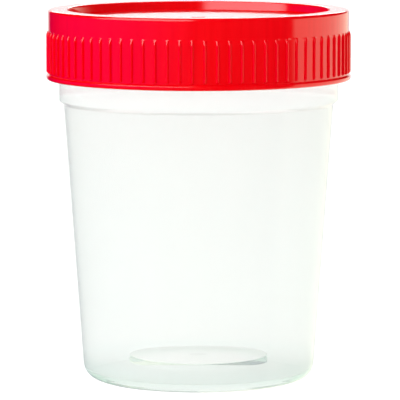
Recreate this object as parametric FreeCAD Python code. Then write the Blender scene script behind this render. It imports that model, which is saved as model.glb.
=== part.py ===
import FreeCAD, Part
import math
import os

from FreeCAD import Vector

# A screw-cap specimen container in millimetres. +Z is up, the cup rests on Z = 0 and the common
# axis of all pieces is the Z axis. Radii are outside radii unless the name says otherwise.

# Cup: overall
CUP_HEIGHT = 73.5            # resting ring to the neck's rim
NECK_RADIUS = 28.5           # plain neck between the thread's turns
BASE_RADIUS = 23.43          # tapered wall carried down to Z = 0
COLLAR_HEIGHT = 4.2          # plain neck showing between the cap and the step

# Cup: walls, step and base
NECK_WALL = 1.0
BODY_WALL = 1.0
STEP_WIDTH = 1.0             # how far the neck stands out from the body
STEP_SLOPE = 0.9             # height of the sloped underside of the step
SHELF_RISE = 0.9             # inner shelf above the outer step
RIM_ROUNDING = 0.35
EDGE_ROUNDING = 0.3
BASE_CORNER = 3.3            # outer corner between wall and resting ring
INNER_CORNER = 2.3
RING_WIDTH = 1.0             # flat resting ring
FLOOR_THICKNESS = 1.1
DISC_RADIUS = 13.0           # raised disc in the middle of the floor
DISC_TOP = 4.93              # inner face of the disc above the resting ring
DISC_RISE = 1.6              # disc above the sloping floor round it
DISC_DRAFT = 0.15
BASE_GATE_RADIUS = 1.7
BASE_GATE_HEIGHT = 0.6

# Thread
THREAD_LEAD = 5.0
THREAD_TURNS = 1.25
THREAD_DEPTH = 0.8           # cup's bead above the neck
CAP_BEAD_DEPTH = 0.9         # cap's bead inwards from the skirt
THREAD_CLEARANCE = 0.4       # cup's crest to the skirt
THREAD_PLAY = 0.15           # gap between the loaded flanks
BEAD_HALF_WIDTH = 1.0        # half width of both beads at the root
FLANK_SLOPE = 0.6            # narrowing per millimetre of depth
BEAD_BELOW_RIM = 2.5         # upper end of the cup's bead, centre line
BEAD_SUNK = 0.3              # root of a bead inside the wall that carries it
RUNOUT_ANGLE = 12.0          # degrees over which a bead fades to nothing

# Seal
SEAL_THICKNESS = 0.75
SEAL_GAP = 0.025             # free height above and below the ring
SEAL_SIDE_GAP = 0.1
SEAL_ROUNDING = 0.15

# Cap
CAP_WALL = 0.9               # skirt under the smooth band
CAP_TOP_THICKNESS = 1.2      # flat rim round the recessed lid
SKIRT_BELOW_THREAD = 1.02    # skirt carried down past its own bead
TOP_ROUNDING = 0.5
PLUG_GAP = 0.3               # plug to the neck's bore
PLUG_WALL = 0.75
PLUG_LENGTH = 1.2            # plug's lip below the lid
RECESS_DEPTH = 1.9
RECESS_DRAFT = 0.26          # widening of the recess from floor to opening
LID_THICKNESS = 1.1
LID_GATE_RADIUS = 1.5
LID_GATE_HEIGHT = 0.35
GATE_DRAFT = 0.15

# Cap: grip ribs and lip
RIB_COUNT = 78
RIB_HEIGHT = 0.4
RIB_WIDTH = 0.62             # at the foot
RIB_OVERSHOOT = 0.03         # arc above the crest, trimmed to a narrow land
RIB_TOP_SLOPE = 1.1          # height over which a rib's upper end dies away
RIB_FOOT_SLOPE = 0.35        # the same at its lower end
BAND_HEIGHT = 4.3            # top face to the upper ends of the ribs
LIP_HEIGHT = 1.2             # plain lip below the ribs
NOTCH_HEIGHT = 0.2           # bottom of the groove between ribs and lip
LIP_CHAMFER = 0.35
LIP_ROUNDING = 0.45

# Levels and radii that follow
CAP_INNER_TOP = CUP_HEIGHT + SEAL_THICKNESS + 2 * SEAL_GAP
CAP_TOP = CAP_INNER_TOP + CAP_TOP_THICKNESS
BEAD_OFFSET = 2 * BEAD_HALF_WIDTH - FLANK_SLOPE * (THREAD_DEPTH + THREAD_CLEARANCE) + THREAD_PLAY
CUP_BEAD_TOP = CUP_HEIGHT - BEAD_BELOW_RIM
CAP_BEAD_TOP = CUP_BEAD_TOP - BEAD_OFFSET
CAP_BEAD_FOOT = CAP_BEAD_TOP - THREAD_LEAD * THREAD_TURNS - BEAD_HALF_WIDTH
CAP_BOTTOM = CAP_BEAD_FOOT - SKIRT_BELOW_THREAD
STEP_TOP = CAP_BOTTOM - COLLAR_HEIGHT
LID_TOP = CAP_TOP - RECESS_DEPTH
LID_UNDER = LID_TOP - LID_THICKNESS
NECK_BORE = NECK_RADIUS - NECK_WALL
SKIRT_BORE = NECK_RADIUS + THREAD_DEPTH + THREAD_CLEARANCE
BAND_RADIUS = SKIRT_BORE + CAP_WALL
RIB_RADIUS = BAND_RADIUS + RIB_HEIGHT
PLUG_RADIUS = NECK_BORE - PLUG_GAP
RECESS_RADIUS = PLUG_RADIUS - PLUG_WALL
RIB_TOP = CAP_TOP - BAND_HEIGHT
LIP_TOP = CAP_BOTTOM + LIP_HEIGHT

AXIS = Vector(0, 0, 1)
ORIGIN = Vector(0, 0, 0)
SAME_POINT = 1e-6


def rounded_face(corners):
    """Face in the XZ plane through (radius, height, rounding) corners, with tangent arcs at them."""
    points = [Vector(radius, 0, height) for radius, height, _ in corners]
    spans = []
    for index, (_, _, rounding) in enumerate(corners):
        here = points[index]
        if not rounding:
            spans.append((here, None, here))
            continue
        back = (points[index - 1] - here).normalize()
        ahead = (points[(index + 1) % len(points)] - here).normalize()
        half_angle = back.getAngle(ahead) / 2
        reach = rounding / math.tan(half_angle)
        inward = (back + ahead).normalize()
        middle = here + inward * (rounding / math.sin(half_angle) - rounding)
        spans.append((here + back * reach, middle, here + ahead * reach))
    edges = []
    for index, (start, middle, end) in enumerate(spans):
        if middle:
            edges.append(Part.Arc(start, middle, end).toShape())
        following = spans[(index + 1) % len(spans)][0]
        if end.distanceToPoint(following) > SAME_POINT:
            edges.append(Part.LineSegment(end, following).toShape())
    return Part.Face(Part.Wire(edges))


def lathe(corners):
    return rounded_face(corners).revolve(ORIGIN, AXIS, 360)


def fade_cutter(root_radius, crest_radius, degrees, direction, low, high):
    """Wedge that planes a bead's end away, from the root at degrees to the crest further along."""
    start = math.radians(degrees)
    end = start + direction * math.radians(RUNOUT_ANGLE)
    root = Vector(root_radius * math.cos(start), root_radius * math.sin(start), low)
    crest = Vector(crest_radius * math.cos(end), crest_radius * math.sin(end), low)
    along = (crest - root).normalize()
    away = Vector(along.y, -along.x, 0)
    if away.dot(crest) * (crest_radius - root_radius) < 0:
        away = away * -1
    reach = 2 * (crest - root).Length
    outline = [root - along * reach, crest + along * reach]
    outline += [point + away * reach for point in reversed(outline)]
    outline.append(outline[0])
    return Part.Face(Part.makePolygon(outline)).extrude(Vector(0, 0, high - low))


def thread_bead(root_radius, crest_radius, carrier_radius, upper_end):
    """Helical bead whose centre line ends at height upper_end, with both ends faded out."""
    lower_end = upper_end - THREAD_LEAD * THREAD_TURNS
    crest_half = BEAD_HALF_WIDTH - FLANK_SLOPE * abs(crest_radius - root_radius)
    carrier_half = BEAD_HALF_WIDTH + FLANK_SLOPE * abs(carrier_radius - root_radius)
    section = [
        Vector(carrier_radius, 0, -carrier_half),
        Vector(crest_radius, 0, -crest_half),
        Vector(crest_radius, 0, crest_half),
        Vector(carrier_radius, 0, carrier_half),
    ]
    profile = Part.makePolygon(section + section[:1])
    helix = Part.makeHelix(THREAD_LEAD, THREAD_LEAD * THREAD_TURNS, root_radius)
    bead = Part.Wire(helix).makePipeShell([profile], True, True)
    bead.translate(Vector(0, 0, lower_end))
    low = lower_end - 2 * BEAD_HALF_WIDTH
    first_high = lower_end + 2 * BEAD_HALF_WIDTH
    last_low = upper_end - 2 * BEAD_HALF_WIDTH
    high = upper_end + 2 * BEAD_HALF_WIDTH
    last_angle = 360 * THREAD_TURNS
    bead = bead.cut(fade_cutter(root_radius, crest_radius, 0, 1, low, first_high))
    return bead.cut(fade_cutter(root_radius, crest_radius, last_angle, -1, last_low, high))


def make_container():
    step_bottom = STEP_TOP - STEP_SLOPE
    body_radius = NECK_RADIUS - STEP_WIDTH
    wall_slope = (body_radius - BASE_RADIUS) / step_bottom
    corner_centre = BASE_RADIUS + wall_slope * BASE_CORNER - BASE_CORNER * math.hypot(1, wall_slope)
    inner_base = BASE_RADIUS - BODY_WALL + wall_slope * FLOOR_THICKNESS
    floor_inner_top = DISC_TOP - DISC_RISE
    cup = lathe([
        (0, DISC_TOP - FLOOR_THICKNESS, 0),
        (DISC_RADIUS - BODY_WALL, DISC_TOP - FLOOR_THICKNESS, EDGE_ROUNDING),
        (DISC_RADIUS - BODY_WALL + DISC_DRAFT, floor_inner_top - FLOOR_THICKNESS, EDGE_ROUNDING),
        (corner_centre - RING_WIDTH, 0, EDGE_ROUNDING),
        (BASE_RADIUS, 0, BASE_CORNER),
        (body_radius, step_bottom, EDGE_ROUNDING),
        (NECK_RADIUS, STEP_TOP, EDGE_ROUNDING),
        (NECK_RADIUS, CUP_HEIGHT, RIM_ROUNDING),
        (NECK_BORE, CUP_HEIGHT, RIM_ROUNDING),
        (NECK_BORE, STEP_TOP + SHELF_RISE, EDGE_ROUNDING),
        (body_radius - BODY_WALL, step_bottom + SHELF_RISE, EDGE_ROUNDING),
        (inner_base, FLOOR_THICKNESS, INNER_CORNER),
        (DISC_RADIUS + DISC_DRAFT, floor_inner_top, EDGE_ROUNDING),
        (DISC_RADIUS, DISC_TOP, EDGE_ROUNDING),
        (0, DISC_TOP, 0),
    ])
    gate = Part.makeCone(BASE_GATE_RADIUS - GATE_DRAFT, BASE_GATE_RADIUS, BASE_GATE_HEIGHT)
    gate.translate(Vector(0, 0, DISC_TOP - FLOOR_THICKNESS - BASE_GATE_HEIGHT))
    crest = NECK_RADIUS + THREAD_DEPTH
    bead = thread_bead(NECK_RADIUS, crest, NECK_RADIUS - BEAD_SUNK, CUP_BEAD_TOP)
    return cup.fuse([gate, bead])


def rib_valleys():
    """Everything outside the ribbed outline, over the height of the ribs."""
    pitch = 2 * math.pi / RIB_COUNT
    half_rib = RIB_WIDTH / 2 / BAND_RADIUS
    bottom = LIP_TOP + NOTCH_HEIGHT
    height = RIB_TOP - bottom

    def at(radius, angle):
        return Vector(radius * math.cos(angle), radius * math.sin(angle), bottom)

    edges = []
    for rib in range(RIB_COUNT):
        angle = rib * pitch
        foot = at(BAND_RADIUS, angle + half_rib)
        crest = at(RIB_RADIUS + RIB_OVERSHOOT, angle)
        edges.append(Part.Arc(at(BAND_RADIUS, angle - half_rib), crest, foot).toShape())
        next_foot = at(BAND_RADIUS, angle + pitch - half_rib)
        edges.append(Part.Arc(foot, at(BAND_RADIUS, angle + pitch / 2), next_foot).toShape())
    ribbed = Part.Face(Part.Wire(edges)).extrude(Vector(0, 0, height))
    around = Part.makeCylinder(RIB_RADIUS + 1, height, Vector(0, 0, bottom))
    return around.cut(ribbed)


def make_screw_cap():
    rib_bottom = LIP_TOP + NOTCH_HEIGHT
    cap = lathe([
        (0, LID_TOP, 0),
        (RECESS_RADIUS, LID_TOP, EDGE_ROUNDING),
        (RECESS_RADIUS + RECESS_DRAFT, CAP_TOP, EDGE_ROUNDING),
        (BAND_RADIUS, CAP_TOP, TOP_ROUNDING),
        (BAND_RADIUS, RIB_TOP, 0),
        (RIB_RADIUS, RIB_TOP - RIB_TOP_SLOPE, 0),
        (RIB_RADIUS, rib_bottom + RIB_FOOT_SLOPE, 0),
        (BAND_RADIUS, rib_bottom, 0),
        (BAND_RADIUS, LIP_TOP, 0),
        (RIB_RADIUS, LIP_TOP - LIP_CHAMFER, 0),
        (RIB_RADIUS, CAP_BOTTOM, LIP_ROUNDING),
        (SKIRT_BORE, CAP_BOTTOM, EDGE_ROUNDING),
        (SKIRT_BORE, CAP_INNER_TOP, 0),
        (PLUG_RADIUS, CAP_INNER_TOP, 0),
        (PLUG_RADIUS, LID_UNDER - PLUG_LENGTH, EDGE_ROUNDING),
        (RECESS_RADIUS, LID_UNDER - PLUG_LENGTH, EDGE_ROUNDING),
        (RECESS_RADIUS, LID_UNDER, EDGE_ROUNDING),
        (0, LID_UNDER, 0),
    ])
    cap = cap.cut(rib_valleys())
    gate = Part.makeCone(LID_GATE_RADIUS, LID_GATE_RADIUS - GATE_DRAFT, LID_GATE_HEIGHT)
    gate.translate(Vector(0, 0, LID_TOP))
    crest = SKIRT_BORE - CAP_BEAD_DEPTH
    bead = thread_bead(SKIRT_BORE, crest, SKIRT_BORE + BEAD_SUNK, CAP_BEAD_TOP)
    return cap.fuse([gate, bead])


def make_seal_ring():
    inner = PLUG_RADIUS + SEAL_SIDE_GAP
    outer = SKIRT_BORE - SEAL_SIDE_GAP
    bottom = CUP_HEIGHT + SEAL_GAP
    top = bottom + SEAL_THICKNESS
    return lathe([
        (inner, bottom, SEAL_ROUNDING),
        (outer, bottom, SEAL_ROUNDING),
        (outer, top, SEAL_ROUNDING),
        (inner, top, SEAL_ROUNDING),
    ])


def save(name, shape):
    solids = shape.Solids
    if len(solids) != 1 or not solids[0].isValid():
        raise ValueError(f"{name} is {len(solids)} solids, valid: {[s.isValid() for s in solids]}")
    solid = solids[0]
    solid.exportStep(f"parts/{name}.step")
    box = solid.BoundBox
    print(f"{name}: {solid.Volume / 1000:.2f} cm3, {box.XLength:.2f} x {box.YLength:.2f} mm, "
          f"Z {box.ZMin:.2f} to {box.ZMax:.2f}, {len(solid.Faces)} faces")


os.makedirs("parts", exist_ok=True)
save("container", make_container())
save("screw_cap", make_screw_cap())
save("seal_ring", make_seal_ring())
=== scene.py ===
import math

import bmesh
import bpy
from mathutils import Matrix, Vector


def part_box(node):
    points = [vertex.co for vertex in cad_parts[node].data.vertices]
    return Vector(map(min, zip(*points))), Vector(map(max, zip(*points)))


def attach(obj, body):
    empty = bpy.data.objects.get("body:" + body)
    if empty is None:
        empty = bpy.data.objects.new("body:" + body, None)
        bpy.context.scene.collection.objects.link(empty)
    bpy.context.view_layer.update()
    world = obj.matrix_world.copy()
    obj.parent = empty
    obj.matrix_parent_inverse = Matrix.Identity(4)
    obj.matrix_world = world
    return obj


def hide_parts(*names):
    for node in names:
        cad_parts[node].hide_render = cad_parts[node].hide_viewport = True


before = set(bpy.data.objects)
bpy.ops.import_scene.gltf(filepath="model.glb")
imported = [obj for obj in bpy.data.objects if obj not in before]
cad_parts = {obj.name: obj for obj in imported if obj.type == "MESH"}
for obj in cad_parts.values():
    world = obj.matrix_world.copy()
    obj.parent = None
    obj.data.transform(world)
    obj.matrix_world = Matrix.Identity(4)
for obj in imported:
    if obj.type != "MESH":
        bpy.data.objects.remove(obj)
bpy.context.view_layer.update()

# A screw-cap specimen container: a translucent moulded cup, a red ribbed cap and a soft seal.
# Lengths are in metres, and MM turns a size in millimetres into one.
MM = 0.001

# Places that the frame gives
CUP_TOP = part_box("container")[1].z
CAP_BOTTOM, CAP_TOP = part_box("screw_cap")[0].z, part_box("screw_cap")[1].z
RIB_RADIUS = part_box("screw_cap")[1].x
SEAL_BOTTOM, SEAL_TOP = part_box("seal_ring")[0].z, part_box("seal_ring")[1].z
SEAL_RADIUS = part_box("seal_ring")[1].x

# Cup
NECK_WALL = 1.0 * MM
BODY_WALL = 1.0 * MM
COLLAR_HEIGHT = 4.2 * MM
STEP_WIDTH = 1.0 * MM
STEP_SLOPE = 0.9 * MM
SHELF_RISE = 0.9 * MM
BASE_RADIUS = 23.43 * MM
BASE_CORNER = 3.3 * MM
INNER_CORNER = 2.3 * MM
RING_WIDTH = 1.0 * MM
FLOOR_THICKNESS = 1.1 * MM
DISC_RADIUS = 13.0 * MM
DISC_TOP = 4.93 * MM
DISC_RISE = 1.6 * MM
DISC_DRAFT = 0.15 * MM
GATE_RADIUS = 1.7 * MM
GATE_HEIGHT = 0.6 * MM
GATE_EDGE = 0.12 * MM
RIM_EDGE = 0.35 * MM
EDGE = 0.3 * MM

# Thread
THREAD_LEAD = 5.0 * MM
THREAD_TURNS = 1.25
THREAD_DEPTH = 0.8 * MM
THREAD_CLEARANCE = 0.4 * MM
CAP_BEAD_DEPTH = 0.9 * MM
BEAD_ROOT = 1.0 * MM
BEAD_CREST = 0.5 * MM
BEAD_BELOW_RIM = 2.5 * MM
THREAD_PLAY = 0.15 * MM
FLANK_SLOPE = 0.6
BEAD_SUNK = 0.3 * MM
RUNOUT = 12 / 360

# Cap
CAP_WALL = 0.9 * MM
PLUG_GAP = 0.3 * MM
PLUG_WALL = 0.75 * MM
PLUG_LENGTH = 1.2 * MM
RECESS_DEPTH = 1.9 * MM
RECESS_DRAFT = 0.26 * MM
LID_THICKNESS = 1.1 * MM
LID_GATE_RADIUS = 1.5 * MM
LID_GATE_HEIGHT = 0.35 * MM
LID_GATE_EDGE = 0.1 * MM
SHOULDER_EDGE = 0.5 * MM
BAND_HEIGHT = 4.3 * MM
LIP_HEIGHT = 1.2 * MM
LIP_CHAMFER = 0.35 * MM
LIP_EDGE = 0.45 * MM
FINE_EDGE = 0.15 * MM
NOTCH_HEIGHT = 0.2 * MM
RIB_COUNT = 78
RIB_HEIGHT = 0.4 * MM
RIB_HALF_WIDTH = 0.31 * MM
RIB_TOP_END = 1.1 * MM
RIB_FOOT_END = 0.35 * MM
RIB_END_ROWS = (0, 0.08, 0.25, 0.5, 0.75, 1)
RIB_ACROSS = (0, 0.36, 0.66, 0.88, 1)

# Sizes that follow from these
SKIRT_BORE = RIB_RADIUS - RIB_HEIGHT - CAP_WALL
NECK_RADIUS = SKIRT_BORE - THREAD_CLEARANCE - THREAD_DEPTH
BAND_RADIUS = SKIRT_BORE + CAP_WALL
NECK_BORE = NECK_RADIUS - NECK_WALL
PLUG_RADIUS = NECK_BORE - PLUG_GAP
RECESS_RADIUS = PLUG_RADIUS - PLUG_WALL
LID_TOP = CAP_TOP - RECESS_DEPTH
LID_UNDER = LID_TOP - LID_THICKNESS
RIB_TOP = CAP_TOP - BAND_HEIGHT
LIP_TOP = CAP_BOTTOM + LIP_HEIGHT
BEAD_OFFSET = 2 * BEAD_ROOT - FLANK_SLOPE * (THREAD_DEPTH + THREAD_CLEARANCE) + THREAD_PLAY
CUP_BEAD_TOP = CUP_TOP - BEAD_BELOW_RIM
CAP_BEAD_TOP = CUP_BEAD_TOP - BEAD_OFFSET
RIB_BOTTOM = LIP_TOP + NOTCH_HEIGHT

# Mesh
CUP_COLUMNS = 320
BEAD_STEPS = 240
BEAD_ROUNDING = 0.15 * MM
BEAD_TIP_SCALE = 0.02
SEAL_COLUMNS = 192
NECK_ROW = 0.22 * MM
BODY_ROW = 6 * MM
ARC_STEP = math.radians(15)
CAP_ARC_STEP = math.radians(22)
SHARP_ANGLE = math.radians(38)
WELD = 0.2e-6
BRACE = 0.12 * MM


# ---------------------------------------------------------------- outlines and skins

def rounded(corners, arc_step=ARC_STEP):
    """Points (radius, height) of an outline through (radius, height, rounding) corners."""
    points = [Vector((radius, height)) for radius, height, _ in corners]
    outline = []
    for index, (_, _, rounding) in enumerate(corners):
        here = points[index]
        if not rounding:
            outline.append(here)
            continue
        back = (points[index - 1] - here).normalized()
        ahead = (points[(index + 1) % len(points)] - here).normalized()
        half_angle = back.angle(ahead) / 2
        inward = (back + ahead).normalized()
        centre = here + inward * (rounding / math.sin(half_angle))
        start = here + back * (rounding / math.tan(half_angle)) - centre
        end = here + ahead * (rounding / math.tan(half_angle)) - centre
        sweep = start.angle(end)
        steps = max(2, round(sweep / arc_step))
        for step in range(steps + 1):
            share = step / steps
            spoke = start * math.sin((1 - share) * sweep) + end * math.sin(share * sweep)
            outline.append(centre + spoke / math.sin(sweep))
    return outline


def braced(outline):
    """The outline with a point near each end of every long run, which keeps its shading flat."""
    result = [outline[0]]
    for start, end in zip(outline, outline[1:]):
        length = (end - start).length
        if length > 4 * BRACE:
            result.append(start.lerp(end, BRACE / length))
            result.append(end.lerp(start, BRACE / length))
        result.append(end)
    return result


def divided(outline, spans):
    """The outline cut up inside each (low, high, pitch, inner, outer) band of height and radius."""
    result = [outline[0]]
    for start, end in zip(outline, outline[1:]):
        for low, high, pitch, inner, outer in spans:
            inside = low <= min(start.y, end.y) and max(start.y, end.y) <= high
            if inside and inner <= min(start.x, end.x) and max(start.x, end.x) <= outer:
                pieces = math.ceil((end - start).length / pitch)
                result += [start.lerp(end, piece / pieces) for piece in range(1, pieces)]
        result.append(end)
    return result


def add_skin(bm, outline, angles, whole_turn, reshape=None):
    """Sweep an outline round the Z axis; its points on the axis become poles."""
    rows = []
    for point in outline:
        if point.x < WELD:
            rows.append([bm.verts.new((0, 0, point.y))] * len(angles))
            continue
        row = []
        for angle in angles:
            radius = reshape(point, angle) if reshape else point.x
            place = (radius * math.cos(angle), radius * math.sin(angle), point.y)
            row.append(bm.verts.new(place))
        rows.append(row)
    columns = len(angles) if whole_turn else len(angles) - 1
    for low, high in zip(rows, rows[1:]):
        for column in range(columns):
            following = (column + 1) % len(angles)
            corners = [low[column], low[following], high[following], high[column]]
            bm.faces.new(dict.fromkeys(corners))


def finish_mesh(bm, name, outward=True):
    """Turn the working mesh into a shaded object that sits at the origin."""
    if outward:
        bmesh.ops.remove_doubles(bm, verts=bm.verts, dist=WELD)
        bmesh.ops.recalc_face_normals(bm, faces=bm.faces)
    mesh = bpy.data.meshes.new(name)
    bm.to_mesh(mesh)
    bm.free()
    mesh.polygons.foreach_set("use_smooth", [True] * len(mesh.polygons))
    mesh.set_sharp_from_angle(angle=SHARP_ANGLE)
    piece = bpy.data.objects.new(name, mesh)
    bpy.context.scene.collection.objects.link(piece)
    return piece


def even_angles(count):
    return [2 * math.pi * index / count for index in range(count)]


def smooth_step(value):
    value = min(max(value, 0.0), 1.0)
    return value * value * (3 - 2 * value)


# ---------------------------------------------------------------- node trees

class Graph:
    """Short ways to add nodes to a tree and to join them."""

    def __init__(self, tree):
        self.tree = tree

    def node(self, kind, **settings):
        node = self.tree.nodes.new(kind)
        for name, value in settings.items():
            setattr(node, name, value)
        return node

    def feed(self, socket, value):
        if isinstance(value, bpy.types.NodeSocket):
            self.tree.links.new(value, socket)
        else:
            socket.default_value = value

    def math(self, operation, first, second=0.0, third=0.0):
        node = self.node("ShaderNodeMath", operation=operation)
        for socket, value in zip(node.inputs, (first, second, third)):
            self.feed(socket, value)
        return node.outputs["Value"]

    def ramp(self, value, low, high, start=0.0, end=1.0):
        node = self.node("ShaderNodeMapRange", interpolation_type="SMOOTHSTEP")
        self.feed(node.inputs["Value"], value)
        limits = {"From Min": low, "From Max": high, "To Min": start, "To Max": end}
        for name, limit in limits.items():
            self.feed(node.inputs[name], limit)
        return node.outputs["Result"]

    def mix(self, share, first, second):
        node = self.node("ShaderNodeMix", data_type="RGBA")
        self.feed(node.inputs["Factor"], share)
        self.feed(node.inputs["A"], first)
        self.feed(node.inputs["B"], second)
        return node.outputs["Result"]

    def noise(self, vector, scale, detail=2.0, roughness=0.5):
        node = self.node("ShaderNodeTexNoise")
        values = {"Vector": vector, "Scale": scale, "Detail": detail, "Roughness": roughness}
        for name, value in values.items():
            self.feed(node.inputs[name], value)
        return node.outputs["Fac"]

    def vector(self, operation, first, second):
        node = self.node("ShaderNodeVectorMath", operation=operation)
        for socket, value in zip(node.inputs, (first, second)):
            self.feed(socket, value)
        return node.outputs["Vector"]

    def group(self, tree, **values):
        node = self.node("ShaderNodeGroup", node_tree=tree)
        for name, value in values.items():
            self.feed(node.inputs[name.replace("_", " ")], value)
        return node.outputs

    def moved(self, geometry, x=0.0, z=0.0, turn=0.0):
        """The geometry turned about its Z axis and moved in the XZ plane."""
        offset = self.node("ShaderNodeCombineXYZ")
        self.feed(offset.inputs["X"], x)
        self.feed(offset.inputs["Z"], z)
        node = self.node("GeometryNodeTransform")
        self.feed(node.inputs["Geometry"], geometry)
        self.feed(node.inputs["Translation"], offset.outputs["Vector"])
        node.inputs["Rotation"].default_value = (0, 0, turn)
        return node.outputs["Geometry"]


def group_input(tree, name, kind):
    return tree.interface.new_socket(name=name, in_out="INPUT", socket_type=kind).identifier


# ---------------------------------------------------------------- cup

def cup_thread(point, angle):
    """Radius of the neck's outside with its helical bead."""
    height = 0.0
    turn = (angle / (2 * math.pi)) % 1
    lower_end = CUP_BEAD_TOP - THREAD_LEAD * THREAD_TURNS
    while turn <= THREAD_TURNS:
        away = abs(point.y - lower_end - THREAD_LEAD * turn)
        flank = smooth_step((BEAD_ROOT - away) / (BEAD_ROOT - BEAD_CREST))
        fade = smooth_step(min(turn, THREAD_TURNS - turn) / RUNOUT)
        height = max(height, flank * fade)
        turn += 1
    return point.x + THREAD_DEPTH * height


def cup_radius(point, angle):
    on_neck = abs(point.x - NECK_RADIUS) < WELD
    return cup_thread(point, angle) if on_neck else point.x


def build_cup():
    step_top = CAP_BOTTOM - COLLAR_HEIGHT
    step_bottom = step_top - STEP_SLOPE
    body_radius = NECK_RADIUS - STEP_WIDTH
    slope = (body_radius - BASE_RADIUS) / step_bottom
    ring_outside = BASE_RADIUS + slope * BASE_CORNER - BASE_CORNER * math.hypot(1, slope)
    floor_inner_top = DISC_TOP - DISC_RISE
    disc_under = DISC_TOP - FLOOR_THICKNESS
    outline = rounded([
        (0, disc_under - GATE_HEIGHT, 0),
        (GATE_RADIUS - DISC_DRAFT, disc_under - GATE_HEIGHT, GATE_EDGE),
        (GATE_RADIUS, disc_under, GATE_EDGE),
        (DISC_RADIUS - BODY_WALL, disc_under, EDGE),
        (DISC_RADIUS - BODY_WALL + DISC_DRAFT, floor_inner_top - FLOOR_THICKNESS, EDGE),
        (ring_outside - RING_WIDTH, 0, EDGE),
        (BASE_RADIUS, 0, BASE_CORNER),
        (body_radius, step_bottom, EDGE),
        (NECK_RADIUS, step_top, EDGE),
        (NECK_RADIUS, CUP_TOP, RIM_EDGE),
        (NECK_BORE, CUP_TOP, RIM_EDGE),
        (NECK_BORE, step_top + SHELF_RISE, EDGE),
        (body_radius - BODY_WALL, step_bottom + SHELF_RISE, EDGE),
        (BASE_RADIUS - BODY_WALL + slope * FLOOR_THICKNESS, FLOOR_THICKNESS, INNER_CORNER),
        (DISC_RADIUS + DISC_DRAFT, floor_inner_top, EDGE),
        (DISC_RADIUS, DISC_TOP, EDGE),
        (0, DISC_TOP, 0),
    ])
    neck = (step_top, CUP_TOP, NECK_ROW, NECK_RADIUS - WELD, NECK_RADIUS + WELD)
    body = (step_bottom / 10, step_bottom, BODY_ROW, 0, NECK_RADIUS)
    bm = bmesh.new()
    rows = divided(braced(outline), [neck, body])
    add_skin(bm, rows, even_angles(CUP_COLUMNS), True, cup_radius)
    return finish_mesh(bm, "moulded_cup")


# ---------------------------------------------------------------- cap

def cap_outline():
    skirt_top = SEAL_TOP + (SEAL_BOTTOM - CUP_TOP)
    head_rows = [(BAND_RADIUS, RIB_TOP - RIB_TOP_END * share, 0) for share in RIB_END_ROWS]
    foot_rows = [(BAND_RADIUS, RIB_BOTTOM + RIB_FOOT_END * share, 0)
                 for share in reversed(RIB_END_ROWS)]
    return rounded([
        (0, LID_TOP + LID_GATE_HEIGHT, 0),
        (LID_GATE_RADIUS - DISC_DRAFT, LID_TOP + LID_GATE_HEIGHT, LID_GATE_EDGE),
        (LID_GATE_RADIUS, LID_TOP, LID_GATE_EDGE),
        (RECESS_RADIUS, LID_TOP, EDGE),
        (RECESS_RADIUS + RECESS_DRAFT, CAP_TOP, EDGE),
        (BAND_RADIUS, CAP_TOP, SHOULDER_EDGE),
        *head_rows,
        *foot_rows,
        (BAND_RADIUS, LIP_TOP, 0),
        (RIB_RADIUS, LIP_TOP - LIP_CHAMFER, FINE_EDGE),
        (RIB_RADIUS, CAP_BOTTOM, LIP_EDGE),
        (SKIRT_BORE, CAP_BOTTOM, EDGE),
        (SKIRT_BORE, skirt_top, FINE_EDGE),
        (PLUG_RADIUS, skirt_top, FINE_EDGE),
        (PLUG_RADIUS, LID_UNDER - PLUG_LENGTH, EDGE),
        (RECESS_RADIUS, LID_UNDER - PLUG_LENGTH, EDGE),
        (RECESS_RADIUS, LID_UNDER, EDGE),
        (0, LID_UNDER, 0),
    ], CAP_ARC_STEP)


def rib_radius(point, angle):
    """Radius of the cap's outside, with one grip rib in the middle of the slice."""
    if abs(point.x - BAND_RADIUS) > WELD or not RIB_BOTTOM < point.y < RIB_TOP:
        return point.x
    across = min(abs(angle) * BAND_RADIUS / RIB_HALF_WIDTH, 1)
    from_head = min((RIB_TOP - point.y) / RIB_TOP_END, 1)
    from_foot = min((point.y - RIB_BOTTOM) / RIB_FOOT_END, 1)
    head = 1 - (1 - from_head) ** 2
    foot = math.sqrt(1 - (1 - from_foot) ** 2)
    return point.x + RIB_HEIGHT * head * foot * math.sqrt(1 - across ** 2)


def build_cap_sector():
    """One slice of the cap, from one gap between ribs to the next."""
    half_pitch = math.pi / RIB_COUNT
    half_rib = RIB_HALF_WIDTH / BAND_RADIUS
    right = [half_rib * share for share in RIB_ACROSS] + [half_pitch]
    angles = [-angle for angle in reversed(right[1:])] + right
    bm = bmesh.new()
    add_skin(bm, braced(cap_outline()), angles, False, rib_radius)
    return finish_mesh(bm, "cap_sector", outward=False)


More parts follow.
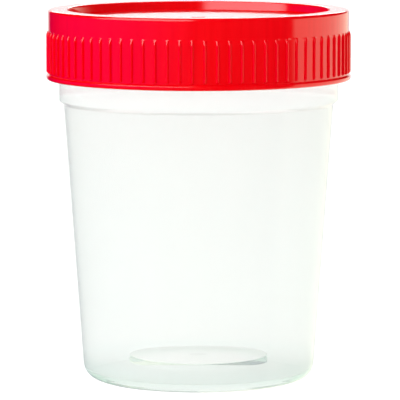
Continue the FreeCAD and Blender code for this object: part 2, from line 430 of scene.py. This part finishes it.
def make_ring_tree():
    """Geometry Nodes tree that repeats a sector round the Z axis and welds it into one skin."""
    tree = bpy.data.node_groups.new("sector_ring", "GeometryNodeTree")
    sockets = {
        "Geometry": group_input(tree, "Geometry", "NodeSocketGeometry"),
        "Count": group_input(tree, "Count", "NodeSocketInt"),
        "Weld Distance": group_input(tree, "Weld Distance", "NodeSocketFloat"),
        "Material": group_input(tree, "Material", "NodeSocketMaterial"),
    }
    tree.interface.new_socket(name="Geometry", in_out="OUTPUT", socket_type="NodeSocketGeometry")
    graph = Graph(tree)
    given = graph.node("NodeGroupInput").outputs
    line = graph.node("GeometryNodeMeshLine")
    line.inputs["Offset"].default_value = (0, 0, 0)
    graph.feed(line.inputs["Count"], given["Count"])
    pitch = graph.math("DIVIDE", 2 * math.pi, given["Count"])
    index = graph.node("GeometryNodeInputIndex").outputs["Index"]
    spin = graph.node("ShaderNodeCombineXYZ")
    graph.feed(spin.inputs["Z"], graph.math("MULTIPLY", index, pitch))
    place = graph.node("GeometryNodeInstanceOnPoints")
    graph.feed(place.inputs["Points"], line.outputs["Mesh"])
    graph.feed(place.inputs["Instance"], given["Geometry"])
    graph.feed(place.inputs["Rotation"], spin.outputs["Vector"])
    real = graph.node("GeometryNodeRealizeInstances")
    graph.feed(real.inputs["Geometry"], place.outputs["Instances"])
    weld = graph.node("GeometryNodeMergeByDistance")
    graph.feed(weld.inputs["Geometry"], real.outputs["Geometry"])
    graph.feed(weld.inputs["Distance"], given["Weld Distance"])
    paint = graph.node("GeometryNodeSetMaterial")
    graph.feed(paint.inputs["Geometry"], weld.outputs["Geometry"])
    graph.feed(paint.inputs["Material"], given["Material"])
    graph.feed(graph.node("NodeGroupOutput").inputs["Geometry"], paint.outputs["Geometry"])
    return tree, sockets


def make_bead_tree():
    """Geometry Nodes tree that sweeps a thread bead along a helix, fading out at both ends."""
    tree = bpy.data.node_groups.new("helical_bead", "GeometryNodeTree")
    names = ("Lead", "Turns", "Start Height", "Radius", "Height", "Root Width", "Crest Width",
             "Sunk", "Runout")
    sockets = {name: group_input(tree, name, "NodeSocketFloat") for name in names}
    sockets["Material"] = group_input(tree, "Material", "NodeSocketMaterial")
    tree.interface.new_socket(name="Geometry", in_out="OUTPUT", socket_type="NodeSocketGeometry")
    graph = Graph(tree)
    given = graph.node("NodeGroupInput").outputs
    spiral = graph.node("GeometryNodeCurveSpiral")
    spiral.inputs["Resolution"].default_value = BEAD_STEPS
    graph.feed(spiral.inputs["Rotations"], given["Turns"])
    graph.feed(spiral.inputs["Start Radius"], given["Radius"])
    graph.feed(spiral.inputs["End Radius"], given["Radius"])
    graph.feed(spiral.inputs["Height"], graph.math("MULTIPLY", given["Lead"], given["Turns"]))
    spiral.inputs["Reverse"].default_value = True
    path = graph.moved(spiral.outputs["Curve"], z=given["Start Height"])
    upright = graph.node("GeometryNodeSetCurveNormal", mode="Z_UP")
    graph.feed(upright.inputs["Curve"], path)
    section = graph.node("GeometryNodeCurvePrimitiveQuadrilateral", mode="TRAPEZOID")
    graph.feed(section.inputs["Bottom Width"], given["Root Width"])
    graph.feed(section.inputs["Top Width"], given["Crest Width"])
    graph.feed(section.inputs["Height"], given["Height"])
    section.inputs["Offset"].default_value = 0.0
    to_root = graph.math("SUBTRACT", graph.math("MULTIPLY", given["Height"], 0.5), given["Sunk"])
    seat = graph.math("MULTIPLY", to_root, -1.0)
    seated = graph.moved(section.outputs["Curve"], x=seat, turn=math.pi / 2)
    soft = graph.node("GeometryNodeFilletCurve", mode="POLY")
    soft.inputs["Count"].default_value = 3
    soft.inputs["Radius"].default_value = BEAD_ROUNDING
    graph.feed(soft.inputs["Curve"], seated)
    along = graph.node("GeometryNodeSplineParameter").outputs["Factor"]
    nearest = graph.math("MINIMUM", along, graph.math("SUBTRACT", 1.0, along))
    sweep = graph.node("GeometryNodeCurveToMesh")
    sweep.inputs["Fill Caps"].default_value = True
    graph.feed(sweep.inputs["Curve"], upright.outputs["Curve"])
    graph.feed(sweep.inputs["Profile Curve"], soft.outputs["Curve"])
    fade = graph.ramp(nearest, 0.0, given["Runout"], BEAD_TIP_SCALE, 1.0)
    graph.feed(sweep.inputs["Scale"], fade)
    real = graph.node("GeometryNodeRealizeInstances")
    graph.feed(real.inputs["Geometry"], sweep.outputs["Mesh"])
    paint = graph.node("GeometryNodeSetMaterial")
    graph.feed(paint.inputs["Geometry"], real.outputs["Geometry"])
    graph.feed(paint.inputs["Material"], given["Material"])
    graph.feed(graph.node("NodeGroupOutput").inputs["Geometry"], paint.outputs["Geometry"])
    return tree, sockets


def bake_modifier(piece, name):
    """Plain mesh object made from what the piece's modifiers give; the piece itself goes."""
    shape = piece.evaluated_get(bpy.context.evaluated_depsgraph_get())
    mesh = bpy.data.meshes.new_from_object(shape)
    mesh.name = name
    bpy.data.objects.remove(piece)
    baked = bpy.data.objects.new(name, mesh)
    bpy.context.scene.collection.objects.link(baked)
    return baked


def grown(piece, tree_and_sockets, name, **values):
    """The plain mesh that a Geometry Nodes tree gives on a piece; its inputs are set by name."""
    tree, sockets = tree_and_sockets
    modifier = piece.modifiers.new(tree.name, "NODES")
    modifier.node_group = tree
    for label, value in values.items():
        modifier[sockets[label.replace("_", " ")]] = value
    return bake_modifier(piece, name)


def build_cap(material):
    ring = grown(
        build_cap_sector(), make_ring_tree(), "ring",
        Count=RIB_COUNT, Weld_Distance=WELD, Material=material)
    bead = grown(
        finish_mesh(bmesh.new(), "bead_carrier"), make_bead_tree(), "bead",
        Lead=THREAD_LEAD, Turns=THREAD_TURNS, Radius=SKIRT_BORE, Sunk=BEAD_SUNK,
        Start_Height=CAP_BEAD_TOP - THREAD_LEAD * THREAD_TURNS,
        Height=CAP_BEAD_DEPTH + BEAD_SUNK,
        Root_Width=2 * (BEAD_ROOT + FLANK_SLOPE * BEAD_SUNK),
        Crest_Width=2 * (BEAD_ROOT - FLANK_SLOPE * CAP_BEAD_DEPTH),
        Runout=RUNOUT / THREAD_TURNS, Material=material)
    bm = bmesh.new()
    for part in (ring, bead):
        bm.from_mesh(part.data)
        bpy.data.objects.remove(part)
    cap = finish_mesh(bm, "ribbed_cap")
    cap.data.materials.append(material)
    return cap


# ---------------------------------------------------------------- seal

def build_seal():
    width = (SKIRT_BORE - PLUG_RADIUS) - 2 * (SKIRT_BORE - SEAL_RADIUS)
    inner = SEAL_RADIUS - width
    outline = rounded([
        (inner, SEAL_BOTTOM, FINE_EDGE),
        (SEAL_RADIUS, SEAL_BOTTOM, FINE_EDGE),
        (SEAL_RADIUS, SEAL_TOP, FINE_EDGE),
        (inner, SEAL_TOP, FINE_EDGE),
    ])
    bm = bmesh.new()
    add_skin(bm, outline + outline[:1], even_angles(SEAL_COLUMNS), True)
    return finish_mesh(bm, "foam_seal")


# ---------------------------------------------------------------- finishes

# Colours: red, green, blue and alpha
BODY_STREAK = (0.85, 0.872, 0.852, 1)
BODY_COLOUR = (0.863, 0.88, 0.861, 1)
# Painted shade: a darker, greener foot standing for the shade seen through the base
FOOT_PAINTED_SHADE = (0.80, 0.855, 0.83, 1)
# Painted light: a lighter collar that cancels the shade under the cap's lip
COLLAR_PAINTED_LIGHT = (0.96, 0.97, 0.965, 1)
GATE_COLOUR = (0.86, 0.86, 0.86, 1)
SCUFFED = (1, 1, 1, 1)
# Painted light: a whiter disc in the floor standing for the light it catches
DISC_PAINTED_LIGHT = (1, 1, 1, 1)
WALL_TINT = (0.83, 0.92, 0.87, 1)
CAP_STREAK = (0.735, 0.0, 0.0025, 1)
CAP_COLOUR = (0.785, 0.0, 0.0035, 1)
RUBBED_RED = (0.8, 0.06, 0.05, 1)
# Painted shade: darker colour in the foam cells' hollows
FOAM_CELL_SHADE = (0.80, 0.79, 0.74, 1)
FOAM_WALL = (0.90, 0.895, 0.87, 1)

TINT_DENSITY = 110

# Amounts of the masks' effect on colour and roughness
SCUFF_SHARE = 0.25
RUB_SHARE = 0.3
CUP_ROUGHNESS = 0.06
CUP_SCUFF_ROUGHNESS = 0.12
CUP_STREAK_ROUGHNESS = 0.02
DISC_ROUGHNESS = 0.25
CAP_ROUGHNESS = 0.085
CAP_STREAK_ROUGHNESS = 0.025
CAP_SCUFF_ROUGHNESS = 0.1
LID_ROUGHNESS = 0.27
FOAM_ROUGHNESS = 0.5
FOAM_GRAIN_ROUGHNESS = 0.2
CAP_GRAIN = 0.4e-6
LID_GRAIN = 2.5e-6

# Where the masks begin and end
FOOT_ZONE = 3.6 * MM
FOOT_FADE = 1.7
GATE_BLUR = 0.3 * MM
DISC_FADE = (0.2 * MM, 0)
LID_FADE = (-0.1 * MM, -0.5 * MM)
PANEL_TOP_FADE = (-0.3 * MM, -0.1 * MM)
CREST_FADE = (-0.15 * MM, -0.02 * MM)
FOAM_CELL = 0.25 * MM
FOAM_CELL_DEPTH = 12e-6
FOAM_CELL_FADE = (0.1, 0.6)
STREAK_FADE = (0.3, 0.7)
SCRATCH_FADE = (0.66, 0.74)
SCRATCH_PATCH_FADE = (0.42, 0.62)
SCRATCH_TURNS = ((0.5, 0.2, 0.7), (1.1, 0.9, -0.6))


def principled(name, base_colour, **values):
    """Material with plain values on its Principled shader, and the graph to add more with."""
    material = bpy.data.materials.new(name)
    material.use_nodes = True
    shader = material.node_tree.nodes["Principled BSDF"]
    shader.inputs["Base Color"].default_value = (*base_colour, 1)
    for socket, value in values.items():
        shader.inputs[socket.replace("_", " ")].default_value = value
    return material, Graph(material.node_tree), shader


def shader_group(name, inputs, outputs):
    """Empty shader node group; inputs are (name, value), where no value stands for a vector."""
    tree = bpy.data.node_groups.new(name, "ShaderNodeTree")
    for label, value in inputs:
        kind = "NodeSocketVector" if value is None else "NodeSocketFloat"
        socket = tree.interface.new_socket(name=label, in_out="INPUT", socket_type=kind)
        if value is not None:
            socket.default_value = value
    for label, kind in outputs:
        tree.interface.new_socket(name=label, in_out="OUTPUT", socket_type=kind)
    graph = Graph(tree)
    return graph, graph.node("NodeGroupInput").outputs, graph.node("NodeGroupOutput").inputs


def make_lathe_place():
    """Where a point lies on a piece turned round the Z axis."""
    graph, given, result = shader_group(
        "lathe_place",
        [("Position", None)],
        [("Radius", "NodeSocketFloat"), ("Height", "NodeSocketFloat"),
         ("Outward", "NodeSocketVector")])
    level = graph.vector("MULTIPLY", given["Position"], (1, 1, 0))
    length = graph.node("ShaderNodeVectorMath", operation="LENGTH")
    graph.feed(length.inputs[0], level)
    split = graph.node("ShaderNodeSeparateXYZ")
    graph.feed(split.inputs["Vector"], given["Position"])
    graph.feed(result["Radius"], length.outputs["Value"])
    graph.feed(result["Height"], split.outputs["Z"])
    graph.feed(result["Outward"], graph.vector("NORMALIZE", level, (0, 0, 0)))
    return graph.tree


def make_moulded_skin():
    """Height in metres of a moulded surface: fine grain over slow ripples."""
    graph, given, result = shader_group(
        "moulded_skin",
        [("Position", None), ("Grain Size", 0.0002), ("Grain Depth", 1e-6),
         ("Ripple Size", 0.008), ("Ripple Depth", 3e-6)],
        [("Height", "NodeSocketFloat"), ("Grain", "NodeSocketFloat")])
    position = given["Position"]
    grain = graph.noise(position, graph.math("DIVIDE", 1.0, given["Grain Size"]), detail=1.0)
    ripple = graph.noise(position, graph.math("DIVIDE", 1.0, given["Ripple Size"]), detail=1.0)
    slow = graph.math("MULTIPLY", ripple, given["Ripple Depth"])
    graph.feed(result["Height"], graph.math("MULTIPLY_ADD", grain, given["Grain Depth"], slow))
    graph.feed(result["Grain"], grain)
    return graph.tree


def make_draw_lines():
    """Faint streaks up the piece, left by the flowing plastic and by the core as it slides off."""
    graph, given, result = shader_group(
        "draw_lines", [("Outward", None), ("Height", 0.0), ("Count", 120.0), ("Length", 0.03)],
        [("Shade", "NodeSocketFloat")])
    around = graph.vector("SCALE", given["Outward"], (0, 0, 0))
    graph.feed(around.node.inputs["Scale"], graph.math("DIVIDE", given["Count"], 2 * math.pi))
    up = graph.node("ShaderNodeCombineXYZ")
    graph.feed(up.inputs["Z"], graph.math("DIVIDE", given["Height"], given["Length"]))
    streaks = graph.vector("ADD", around, up.outputs["Vector"])
    shade = graph.noise(streaks, scale=1.0, detail=3.0, roughness=0.6)
    graph.feed(result["Shade"], graph.ramp(shade, *STREAK_FADE))
    return graph.tree


def make_handling_marks():
    """Mask of short hair-fine scratches in two directions, gathered in loose patches."""
    graph, given, result = shader_group(
        "handling_marks",
        [("Position", None), ("Width", 0.0001), ("Length", 0.004), ("Patch Size", 0.014)],
        [("Mask", "NodeSocketFloat")])
    across = graph.math("DIVIDE", 1.0, given["Width"])
    stretch = graph.node("ShaderNodeCombineXYZ")
    graph.feed(stretch.inputs["X"], across)
    graph.feed(stretch.inputs["Y"], graph.math("DIVIDE", 1.0, given["Length"]))
    graph.feed(stretch.inputs["Z"], across)
    masks = []
    for angles in SCRATCH_TURNS:
        turned = graph.node("ShaderNodeVectorRotate", rotation_type="EULER_XYZ")
        graph.feed(turned.inputs["Vector"], given["Position"])
        turned.inputs["Rotation"].default_value = angles
        drawn_out = graph.vector("MULTIPLY", turned.outputs["Vector"], stretch.outputs["Vector"])
        lines = graph.noise(drawn_out, scale=1.0, detail=1.0)
        masks.append(graph.ramp(lines, *SCRATCH_FADE))
    patch = graph.noise(given["Position"], graph.math("DIVIDE", 1.0, given["Patch Size"]))
    both = graph.math("MAXIMUM", masks[0], masks[1])
    in_patch = graph.ramp(patch, *SCRATCH_PATCH_FADE)
    graph.feed(result["Mask"], graph.math("MULTIPLY", both, in_patch))
    return graph.tree


class Finish:
    """The node groups that the plastics share, built once."""

    def __init__(self):
        self.place = make_lathe_place()
        self.skin = make_moulded_skin()
        self.lines = make_draw_lines()
        self.marks = make_handling_marks()


def raised(graph, shader, height):
    """Bump on the shader's normal from a height in metres."""
    bump = graph.node("ShaderNodeBump")
    bump.inputs["Distance"].default_value = 1.0
    graph.feed(bump.inputs["Height"], height)
    graph.feed(shader.inputs["Normal"], bump.outputs["Normal"])


def roughened(graph, shader, plain, *added):
    """Roughness that starts from a plain value and gains an amount under each mask."""
    for mask, amount in added:
        plain = graph.math("MULTIPLY_ADD", mask, amount, plain)
    graph.feed(shader.inputs["Roughness"], plain)


def on_panel(graph, place, radius, edge, top):
    """Mask of a round panel: full inside its radius and close under its top height."""
    outer, inner = edge
    within = graph.ramp(place["Radius"], radius + outer, radius + inner)
    low, high = PANEL_TOP_FADE
    return graph.math("MULTIPLY", within, graph.ramp(place["Height"], top + low, top + high))


def make_cup_material(finish):
    """Milky polypropylene, greener where it is thick, with a matt disc in the floor; painted shade
    darkens the foot and painted light whitens the collar and disc.
    """
    material, graph, shader = principled(
        "milky_polypropylene", (0.95, 0.97, 0.96), IOR=1.08, Roughness=0.07,
        Transmission_Weight=0.82, Coat_Weight=0.2, Coat_IOR=1.49, Coat_Roughness=0.1)
    position = graph.node("ShaderNodeTexCoord").outputs["Object"]
    place = graph.group(finish.place, Position=position)
    skin = graph.group(finish.skin, Position=position, Ripple_Depth=2e-6, Grain_Depth=0.5e-6)
    lines = graph.group(
        finish.lines, Outward=place["Outward"], Height=place["Height"], Count=150.0)
    marks = graph.group(finish.marks, Position=position)
    on_disc = on_panel(graph, place, DISC_RADIUS, DISC_FADE, DISC_TOP)
    collar_foot = CAP_BOTTOM - COLLAR_HEIGHT
    # Painted shade: darker and greener towards the foot, by height
    foot_shade_mask = graph.ramp(place["Height"], FOOT_ZONE * FOOT_FADE, FOOT_ZONE)
    # Painted light: lighter on the collar, by height
    collar_light_mask = graph.ramp(place["Height"], collar_foot - STEP_SLOPE, collar_foot)
    at_gate = graph.ramp(place["Radius"], GATE_RADIUS + GATE_BLUR, GATE_RADIUS - GATE_BLUR)
    colour = graph.mix(lines["Shade"], BODY_STREAK, BODY_COLOUR)
    colour = graph.mix(foot_shade_mask, colour, FOOT_PAINTED_SHADE)
    colour = graph.mix(collar_light_mask, colour, COLLAR_PAINTED_LIGHT)
    # Painted light: the disc in the floor is whitened
    colour = graph.mix(on_disc, colour, DISC_PAINTED_LIGHT)
    colour = graph.mix(graph.math("MULTIPLY", at_gate, on_disc), colour, GATE_COLOUR)
    colour = graph.mix(graph.math("MULTIPLY", marks["Mask"], SCUFF_SHARE), colour, SCUFFED)
    graph.feed(shader.inputs["Base Color"], colour)
    roughened(
        graph, shader, CUP_ROUGHNESS, (marks["Mask"], CUP_SCUFF_ROUGHNESS),
        (lines["Shade"], CUP_STREAK_ROUGHNESS), (on_disc, DISC_ROUGHNESS))
    raised(graph, shader, skin["Height"])
    facing = graph.node("ShaderNodeNewGeometry").outputs["Backfacing"]
    graph.feed(shader.inputs["Alpha"], graph.math("SUBTRACT", 1.0, facing))
    tint = graph.node("ShaderNodeVolumeAbsorption")
    tint.inputs["Color"].default_value = WALL_TINT
    tint.inputs["Density"].default_value = TINT_DENSITY
    output = graph.tree.nodes["Material Output"]
    graph.feed(output.inputs["Volume"], tint.outputs["Volume"])
    return material


def make_cap_material(finish):
    """Glossy red polyethylene; the lid's panel is matt and the ribs' crests are rubbed."""
    material, graph, shader = principled(
        "red_polyethylene", (0.78, 0.0, 0.001), IOR=1.53, Roughness=0.1)
    position = graph.node("ShaderNodeTexCoord").outputs["Object"]
    place = graph.group(finish.place, Position=position)
    lines = graph.group(
        finish.lines, Outward=place["Outward"], Height=place["Height"], Count=200.0)
    marks = graph.group(finish.marks, Position=position)
    on_lid = on_panel(graph, place, RECESS_RADIUS, LID_FADE, LID_TOP)
    low, high = CREST_FADE
    on_crest = graph.ramp(place["Radius"], RIB_RADIUS + low, RIB_RADIUS + high)
    rubbed = graph.math("MULTIPLY", on_crest, marks["Mask"])
    colour = graph.mix(lines["Shade"], CAP_STREAK, CAP_COLOUR)
    colour = graph.mix(graph.math("MULTIPLY", rubbed, RUB_SHARE), colour, RUBBED_RED)
    graph.feed(shader.inputs["Base Color"], colour)
    roughened(
        graph, shader, CAP_ROUGHNESS, (lines["Shade"], CAP_STREAK_ROUGHNESS),
        (marks["Mask"], CAP_SCUFF_ROUGHNESS), (on_lid, LID_ROUGHNESS))
    depth = graph.math("MULTIPLY_ADD", on_lid, LID_GRAIN, CAP_GRAIN)
    skin = graph.group(finish.skin, Position=position, Grain_Depth=depth, Ripple_Depth=3e-6)
    raised(graph, shader, skin["Height"])
    return material


def make_seal_material(finish):
    """Closed-cell foam: small shallow cells, a little yellowed, with painted shade darkening the
    cells' hollows.
    """
    material, graph, shader = principled("seal_foam", (0.86, 0.86, 0.83), IOR=1.45, Roughness=0.6)
    position = graph.node("ShaderNodeTexCoord").outputs["Object"]
    skin = graph.group(
        finish.skin, Position=position, Grain_Depth=2e-6, Ripple_Size=0.003, Ripple_Depth=6e-6)
    cells = graph.node("ShaderNodeTexVoronoi", feature="SMOOTH_F1")
    graph.feed(cells.inputs["Vector"], position)
    cells.inputs["Scale"].default_value = 1 / FOAM_CELL
    wall = graph.ramp(cells.outputs["Distance"], *FOAM_CELL_FADE)
    # Painted shade in the cells' hollows, lighter on their walls
    graph.feed(shader.inputs["Base Color"], graph.mix(wall, FOAM_CELL_SHADE, FOAM_WALL))
    roughened(graph, shader, FOAM_ROUGHNESS, (skin["Grain"], FOAM_GRAIN_ROUGHNESS))
    raised(graph, shader, graph.math("MULTIPLY_ADD", wall, FOAM_CELL_DEPTH, skin["Height"]))
    return material


# ---------------------------------------------------------------- stage, light and camera

# World colours: what the camera, plain light, light through plastic and gloss see
WHITE_BACKDROP = (1.15, 1.15, 1.15, 1)
AMBIENT = (0.93, 0.93, 0.93, 1)
BEHIND_PLASTIC = (0.965, 0.965, 0.965, 1)
RIGHT_SIDE = (1.55, 1.5, 1.2, 1)
BACK_ABOVE = (1.2, 1.2, 1.2, 1)
BACK_LAMP = (13.0, 13.0, 13.0, 1)
BACK_BELOW = (0.9, 0.9, 0.9, 1)
FAR_LEFT = (0.0, 0.0, 0.12, 1)
FRONT_LEFT = (0.0, 0.0, 0.65, 1)
FRONT_RIGHT = (0.0, 0.0, 0.0, 1)
SOFT_BOX = (4.0, 4.0, 4.1, 1)

# Mirrored room in degrees; azimuth 0 is the camera's side and grows towards +X.
# The horizon's blur is in radians and the back wall's width in shares of the direction's length.
LEFT_FADE = (-150, -85)
BLUE_FADE = (10, -70)
BLUE_BAND, BLUE_BLUR = (-24, 10), 5
RIGHT_WALL_START = (75, 78)
RIGHT_WALL_TOP = (6, 2)
HORIZON_BLUR = 0.01
BACK_LAMP_START = (11, 13)
BACK_WALL_WIDTH = (0.93, 0.97)
BACK_WALL_TOP = (30, 24)
BOX_ACROSS, BOX_SIDE_BLUR = (-90, 0), 12
BOX_UP, BOX_END_BLUR = (4, 62), 3

# Floor and camera
FLOOR_SIZE = 6.0
LENS = 325.5
SENSOR_WIDTH = 36
LENS_SHIFT = 0.00375
CAMERA_DISTANCE = 0.735
CAMERA_ABOVE_CAP = 45.56 * MM
CAMERA_TILT = math.radians(6.571)
NEAREST, FARTHEST = 0.05, 30


def build_stage():
    bm = bmesh.new()
    bmesh.ops.create_grid(bm, x_segments=1, y_segments=1, size=FLOOR_SIZE)
    mesh = bpy.data.meshes.new("floor")
    bm.to_mesh(mesh)
    bm.free()
    floor = bpy.data.objects.new("floor", mesh)
    bpy.context.scene.collection.objects.link(floor)
    material, _, _ = principled(
        "pale_floor", (0.25, 0.25, 0.25), Roughness=0.7, Emission_Color=(1, 1, 1, 1),
        Emission_Strength=0.83)
    mesh.materials.append(material)
    floor.visible_glossy = False


def panel(name, azimuth, elevation, distance, size, radiance):
    """Soft box that faces the object from a direction in degrees."""
    light = bpy.data.lights.new(name, "AREA")
    light.shape = "RECTANGLE"
    light.size, light.size_y = size
    light.energy = radiance * math.pi * size[0] * size[1]
    lamp = bpy.data.objects.new(name, light)
    across, up = math.radians(azimuth), math.radians(elevation)
    level = math.cos(up)
    aim = Vector((math.sin(across) * level, -math.cos(across) * level, math.sin(up)))
    lamp.location = aim * distance + Vector((0, 0, CAP_TOP / 2))
    lamp.rotation_euler = aim.to_track_quat("Z", "Y").to_euler()
    bpy.context.scene.collection.objects.link(lamp)
    return lamp


def fade(graph, angle, limits):
    """Mask that grows from none to full between two angles in degrees."""
    start, end = limits
    return graph.ramp(angle, math.radians(start), math.radians(end))


def between(graph, angle, limits, edge):
    """Mask of the degrees from low to high, with a soft edge on each side."""
    low, high = limits
    rise = fade(graph, angle, (low, low + edge))
    return graph.math("MULTIPLY", rise, fade(graph, angle, (high, high - edge)))


def build_mirrored_room(graph):
    """What gloss reflects: white behind, a warm wall on the right, a soft box front left."""
    split = graph.node("ShaderNodeSeparateXYZ")
    graph.feed(split.inputs["Vector"], graph.node("ShaderNodeTexCoord").outputs["Generated"])
    x, y, z = split.outputs
    azimuth = graph.math("ARCTAN2", x, graph.math("MULTIPLY", y, -1.0))
    elevation = graph.math("ARCSINE", z)
    left = graph.mix(fade(graph, azimuth, LEFT_FADE), FAR_LEFT, FRONT_LEFT)
    bluish = graph.math("MULTIPLY", between(graph, elevation, BLUE_BAND, BLUE_BLUR),
                        fade(graph, azimuth, BLUE_FADE))
    front = graph.mix(bluish, FRONT_RIGHT, left)
    on_right = graph.math("MULTIPLY", fade(graph, azimuth, RIGHT_WALL_START),
                          fade(graph, elevation, RIGHT_WALL_TOP))
    room = graph.mix(on_right, front, RIGHT_SIDE)
    back = graph.mix(graph.ramp(elevation, -HORIZON_BLUR, HORIZON_BLUR), BACK_BELOW, BACK_ABOVE)
    back = graph.mix(fade(graph, elevation, BACK_LAMP_START), back, BACK_LAMP)
    behind = graph.math("MULTIPLY", graph.ramp(y, *BACK_WALL_WIDTH),
                        fade(graph, elevation, BACK_WALL_TOP))
    room = graph.mix(behind, room, back)
    in_box = graph.math("MULTIPLY", between(graph, azimuth, BOX_ACROSS, BOX_SIDE_BLUR),
                        between(graph, elevation, BOX_UP, BOX_END_BLUR))
    return graph.mix(in_box, room, SOFT_BOX)


def build_world():
    world = bpy.data.worlds.new("studio")
    world.use_nodes = True
    world.cycles.sampling_method = "NONE"
    graph = Graph(world.node_tree)
    background = world.node_tree.nodes["Background"]
    path = graph.node("ShaderNodeLightPath")
    light = graph.mix(path.outputs["Is Camera Ray"], AMBIENT, WHITE_BACKDROP)
    light = graph.mix(path.outputs["Is Glossy Ray"], light, build_mirrored_room(graph))
    light = graph.mix(path.outputs["Is Transmission Ray"], light, BEHIND_PLASTIC)
    graph.feed(background.inputs["Color"], light)
    bpy.context.scene.world = world


def build_light():
    build_world()
    key = panel(
        "key_panel", azimuth=-45, elevation=32, distance=0.95, size=(1.5, 0.95), radiance=1.3)
    key.visible_glossy = False


def build_camera():
    camera = bpy.data.cameras.new("camera")
    camera.lens = LENS
    camera.sensor_width = SENSOR_WIDTH
    camera.clip_start = NEAREST
    camera.clip_end = FARTHEST
    camera.shift_x = LENS_SHIFT
    lens = bpy.data.objects.new("camera", camera)
    lens.location = (0, -CAMERA_DISTANCE, CAP_TOP + CAMERA_ABOVE_CAP)
    lens.rotation_euler = (math.radians(90) - CAMERA_TILT, 0, 0)
    bpy.context.scene.collection.objects.link(lens)
    bpy.context.scene.camera = lens


build_camera()
build_light()
build_stage()
bpy.context.scene.view_settings.view_transform = "Standard"

finish = Finish()

cup = build_cup()
cup.data.materials.append(make_cup_material(finish))
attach(cup, "cup")
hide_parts("container")

cap = build_cap(make_cap_material(finish))
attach(cap, "cap")
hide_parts("screw_cap")

seal = build_seal()
seal.data.materials.append(make_seal_material(finish))
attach(seal, "seal")
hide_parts("seal_ring")

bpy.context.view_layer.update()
for piece in (cup, cap, seal):
    print(piece.name, sum(len(face.vertices) - 2 for face in piece.data.polygons), "triangles")
